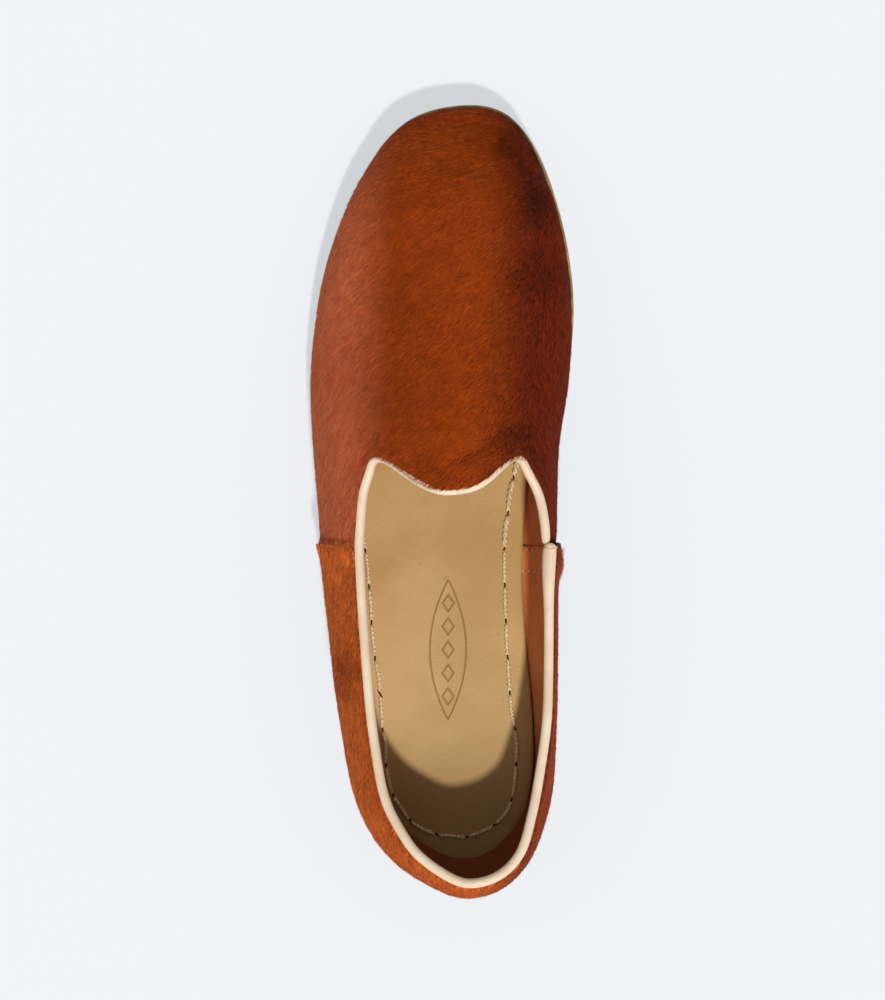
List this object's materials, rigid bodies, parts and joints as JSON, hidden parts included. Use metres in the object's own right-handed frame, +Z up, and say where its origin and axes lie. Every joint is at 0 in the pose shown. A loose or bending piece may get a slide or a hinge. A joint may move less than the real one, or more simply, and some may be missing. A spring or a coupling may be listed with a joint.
{
  "type": "slip-on shoe",
  "caption": "Low slip-on shoe for the left foot in rust-brown hair-on leather, with a cream folded binding, a tan stitched insole and a leather sole with a low heel.",
  "frame": {"origin": "on the floor under the middle of the shoe's box", "axes": "+Y from heel to toe, +X to the medial (big-toe) side, +Z up"},
  "size_m": [0.1012, 0.302, 0.0737],
  "materials": {
    "hair_hide": "short rust-brown hair on the hide",
    "binding_leather": "cream, smooth, folded",
    "lining_leather": "smooth vegetable-tanned",
    "insole_leather": "tan, smooth, slightly marked",
    "sole_leather": "natural edge, waxed",
    "heel_leather": "stacked lifts, waxed",
    "thread": "waxed twisted thread"
  },
  "bodies": {
    "root": {"outsole": "sole_leather", "heel": "heel_leather", "insole": "insole_leather", "upper": "hair_hide", "quarter": "hair_hide", "binding": "binding_leather"}
  },
  "joints": []
}
